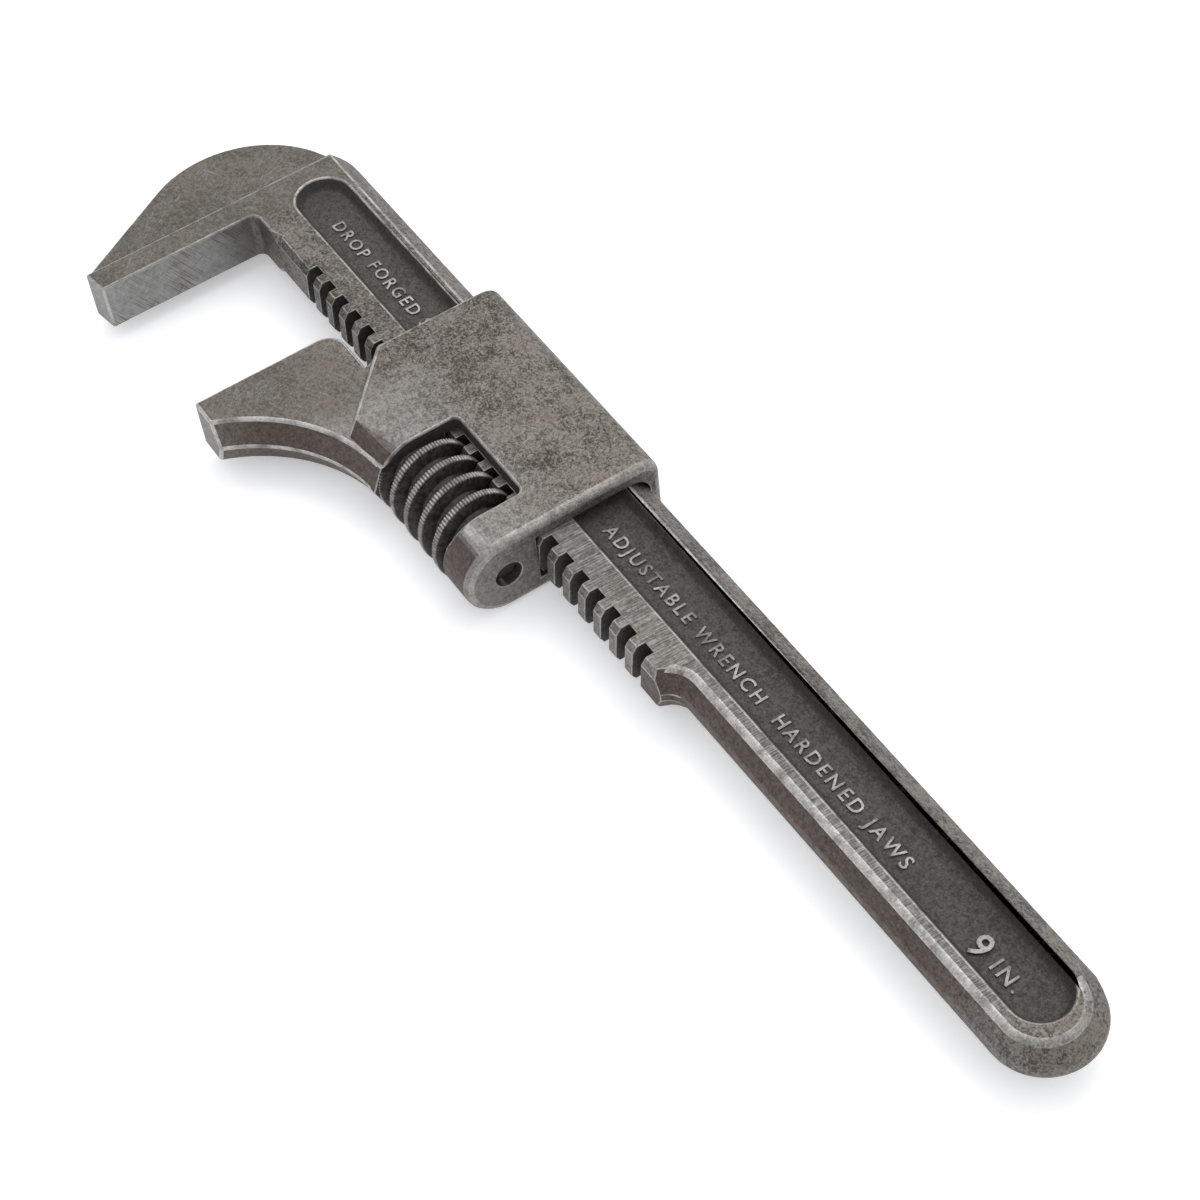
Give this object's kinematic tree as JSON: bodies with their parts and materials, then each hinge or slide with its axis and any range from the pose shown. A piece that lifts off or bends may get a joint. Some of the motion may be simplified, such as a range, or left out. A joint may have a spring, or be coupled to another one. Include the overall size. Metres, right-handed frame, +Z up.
{
  "type": "adjustable wrench",
  "caption": "Forged adjustable wrench: toothed bar with fixed jaw and flat handle, sleeve-guided sliding jaw driven by a knurled worm in its window.",
  "frame": {"origin": "centre of the bounding box at its bottom, where the wrench lies on its flat side", "axes": "+X along the bar towards the head, +Y towards the jaw tips, +Z up through the flat side"},
  "size_m": [0.2286, 0.0542, 0.0159],
  "materials": {
    "forged_steel": "worn brown-grey patina with bright edges",
    "jaw_steel": "worn brown-grey patina with bright edges",
    "worm_steel": "knurled, bright on the ribs and dark between them",
    "pin_steel": "dull"
  },
  "bodies": {
    "bar": {"bar": "forged_steel"},
    "jaw": {"sliding_jaw": "jaw_steel", "worm_pin": "pin_steel"},
    "worm": {"worm": "worm_steel"}
  },
  "joints": [
    {"name": "jaw_slide", "type": "slide", "parent": "bar", "child": "jaw", "axis": [1, 0, 0], "range_m": [-0.035, 0.0329]},
    {"name": "worm_spin", "type": "hinge", "parent": "jaw", "child": "worm", "pos_m": [0.0206, 0.00185, 0.00795], "axis": [1, 0, 0], "range_deg": [-2900, 2730]}
  ],
  "couplings": [
    {"joint": "worm_spin", "follows": "jaw_slide", "rad_per_m": 1441.1}
  ]
}
